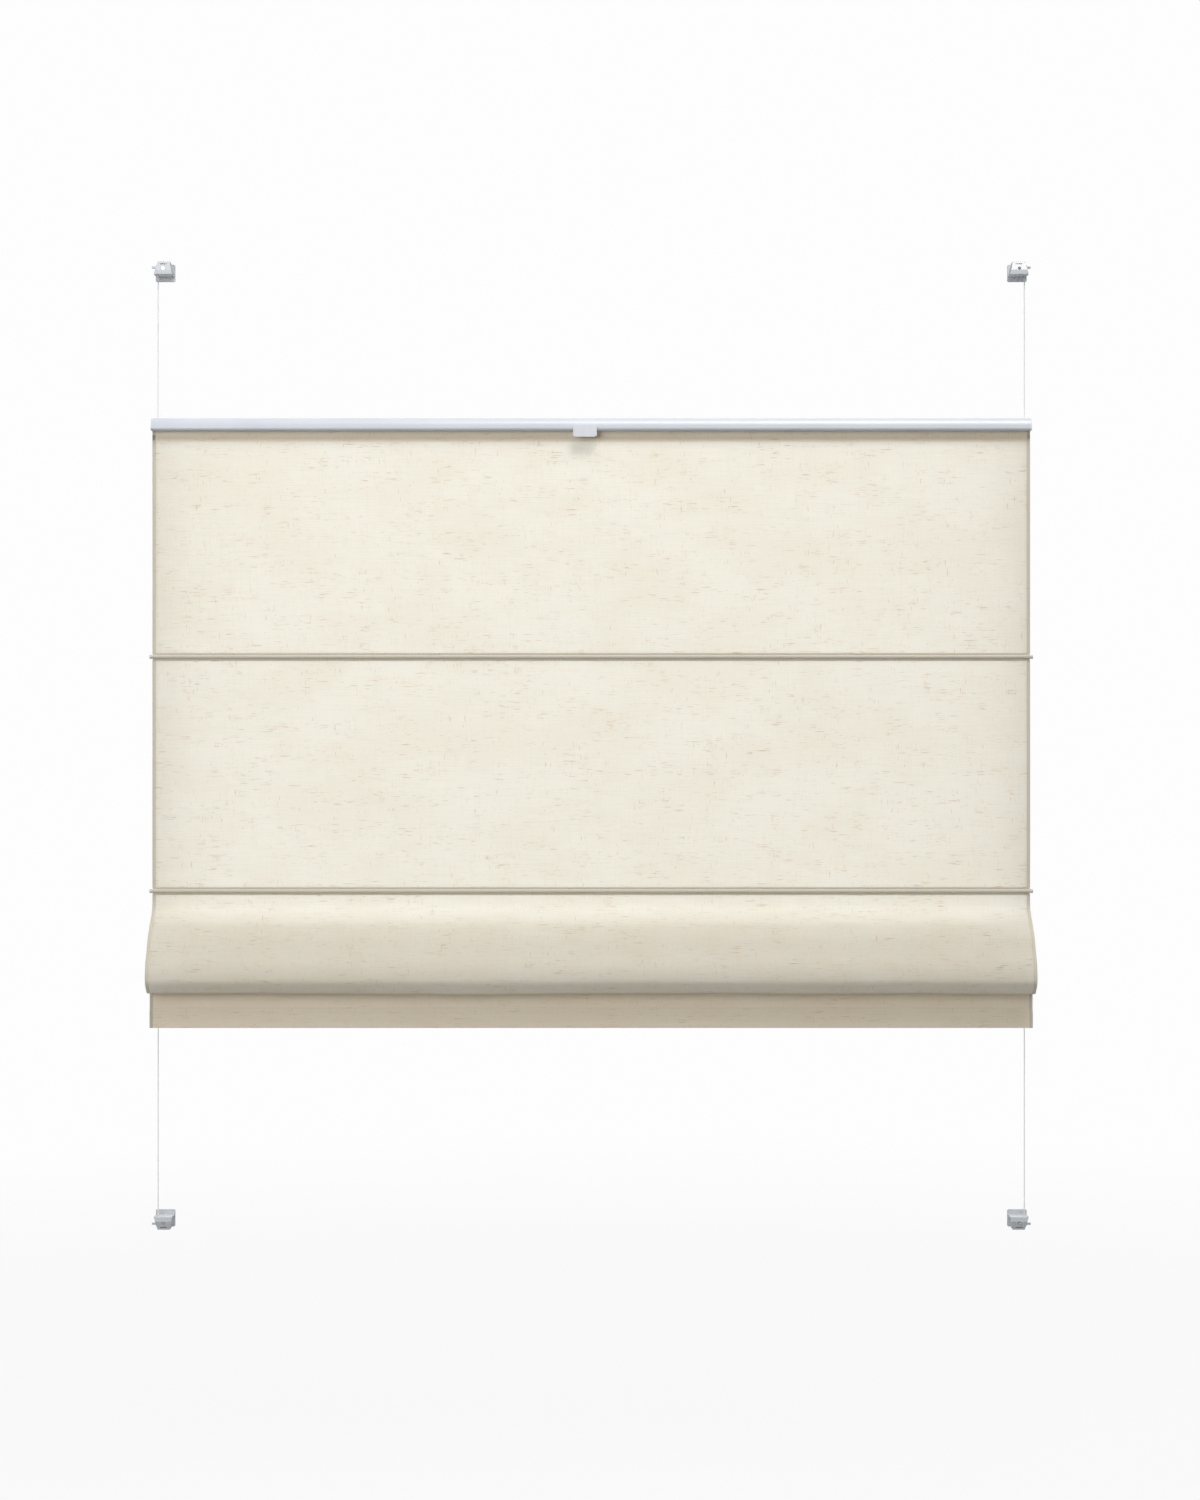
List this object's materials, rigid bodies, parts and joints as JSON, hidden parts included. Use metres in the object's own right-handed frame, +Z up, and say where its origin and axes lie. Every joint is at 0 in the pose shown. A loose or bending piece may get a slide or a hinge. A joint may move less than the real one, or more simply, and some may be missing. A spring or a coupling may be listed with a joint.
{
  "type": "roman blind",
  "caption": "Cordless roman blind on taut side cords, clamped to a window sash, with a sliding top rail, rods in sewn tunnels, a gathered fold and a hem skirt.",
  "frame": {"origin": "front plane of the window sash, at its top edge, on the centre line of the blind", "axes": "+X to the right across the window, -Y towards the room, +Z up"},
  "size_m": [1.0054, 0.0872, 1.1028],
  "materials": {
    "cream_linen": "linen-look weave",
    "cord": "braided polyester",
    "screw_steel": "zinc plated",
    "hook_steel": "white powder coat on steel",
    "clamp_plastic": "satin moulded",
    "bead_plastic": "satin moulded",
    "rail_aluminium": "white powder coat",
    "cap_plastic": "satin moulded",
    "bush_plastic": "satin moulded",
    "grip_plastic": "satin moulded",
    "rod_glassfibre": "drawn glass fibre rod",
    "keder": "extruded",
    "hem_steel": "coated flat bar",
    "tip_plastic": "satin moulded",
    "guide_plastic": "clear satin"
  },
  "bodies": {
    "clamps": {"clamp_plate_top_left": "clamp_plastic", "clamp_plate_top_right": "clamp_plastic", "clamp_plate_bottom_left": "clamp_plastic", "clamp_plate_bottom_right": "clamp_plastic", "cord_holder_top_left": "clamp_plastic", "cord_holder_top_right": "clamp_plastic", "cord_holder_bottom_left": "clamp_plastic", "cord_holder_bottom_right": "clamp_plastic", "clamp_screw_top_left": "screw_steel", "clamp_screw_top_right": "screw_steel", "clamp_screw_bottom_left": "screw_steel", "clamp_screw_bottom_right": "screw_steel", "cord_bead_top_left": "bead_plastic", "cord_bead_top_right": "bead_plastic", "cord_bead_bottom_left": "bead_plastic", "cord_bead_bottom_right": "bead_plastic", "tension_cord_left": "cord", "tension_cord_right": "cord"},
    "top_rail": {"top_rail": "rail_aluminium", "top_grip": "grip_plastic", "keder_rod": "keder", "cloth_at_top_rail": "cream_linen", "top_rail_cap_left": "cap_plastic", "top_rail_cap_right": "cap_plastic", "top_rail_bush_left": "bush_plastic", "top_rail_bush_right": "bush_plastic"},
    "pleat_1": {"cloth_pleat_1": "cream_linen"},
    "pleat_2": {"cloth_pleat_2": "cream_linen"},
    "pleat_3": {"cloth_pleat_3": "cream_linen"},
    "rod_1": {"rod_1": "rod_glassfibre", "cloth_at_rod_1": "cream_linen", "rod_1_tip_left": "tip_plastic", "rod_1_tip_right": "tip_plastic", "rod_1_guide_left": "guide_plastic", "rod_1_guide_right": "guide_plastic"},
    "rod_2": {"rod_2": "rod_glassfibre", "cloth_at_rod_2": "cream_linen", "rod_2_tip_left": "tip_plastic", "rod_2_tip_right": "tip_plastic", "rod_2_guide_left": "guide_plastic", "rod_2_guide_right": "guide_plastic"},
    "lower_rail": {"lower_rail": "rail_aluminium", "rod_3": "rod_glassfibre", "hem_bar": "hem_steel", "cloth_skirt": "cream_linen", "lower_rail_cap_left": "cap_plastic", "lower_rail_cap_right": "cap_plastic", "lower_rail_bush_left": "bush_plastic", "lower_rail_bush_right": "bush_plastic", "hem_bar_tip_left": "tip_plastic", "hem_bar_tip_right": "tip_plastic"},
    "hook_top_left": {"clamp_hook_top_left": "hook_steel"},
    "hook_top_right": {"clamp_hook_top_right": "hook_steel"},
    "hook_bottom_left": {"clamp_hook_bottom_left": "hook_steel"},
    "hook_bottom_right": {"clamp_hook_bottom_right": "hook_steel"}
  },
  "joints": [
    {"name": "top_rail_slide", "type": "slide", "parent": "clamps", "child": "top_rail", "axis": [0, 0, 1], "range_m": [-0.1, 0.155]},
    {"name": "pleat_1_swing", "type": "slide", "parent": "top_rail", "child": "pleat_1", "axis": [0, -0.9674, 0.2534], "range_m": [0, 0.07823]},
    {"name": "rod_1_lift", "type": "slide", "parent": "pleat_1", "child": "rod_1", "axis": [0, 0.3525, 0.9358], "range_m": [0, 0.21447], "deforming": ["cloth_at_top_rail", "cloth_pleat_1"]},
    {"name": "pleat_2_swing", "type": "slide", "parent": "rod_1", "child": "pleat_2", "axis": [0, -0.9871, 0.1601], "range_m": [0, 0.06754]},
    {"name": "rod_2_lift", "type": "slide", "parent": "pleat_2", "child": "rod_2", "axis": [0, 0.2969, 0.9549], "range_m": [0, 0.22431], "deforming": ["cloth_at_rod_1", "cloth_pleat_2"]},
    {"name": "pleat_3_swing", "type": "slide", "parent": "rod_2", "child": "pleat_3", "axis": [0, -0.7399, 0.6727], "range_m": [-0.02976, 0.00036]},
    {"name": "lower_rail_slide", "type": "slide", "parent": "pleat_3", "child": "lower_rail", "axis": [0, 0.15, 0.9887], "range_m": [-0.14666, 0.00178], "deforming": ["cloth_at_rod_2", "cloth_pleat_3", "cloth_skirt"]},
    {"name": "hook_slide_top_left", "type": "slide", "parent": "clamps", "child": "hook_top_left", "axis": [0, 1, 0], "range_m": [-0.005, 0.0045]},
    {"name": "hook_slide_top_right", "type": "slide", "parent": "clamps", "child": "hook_top_right", "axis": [0, 1, 0], "range_m": [-0.005, 0.0045]},
    {"name": "hook_slide_bottom_left", "type": "slide", "parent": "clamps", "child": "hook_bottom_left", "axis": [0, 1, 0], "range_m": [-0.005, 0.0045]},
    {"name": "hook_slide_bottom_right", "type": "slide", "parent": "clamps", "child": "hook_bottom_right", "axis": [0, 1, 0], "range_m": [-0.005, 0.0045]}
  ],
  "couplings": [
    {"joint": "pleat_1_swing", "follows": "rod_1_lift", "ratio": 0.36439},
    {"joint": "pleat_2_swing", "follows": "rod_2_lift", "ratio": 0.30078},
    {"joint": "pleat_3_swing", "follows": "lower_rail_slide", "ratio": 0.20273}
  ]
}
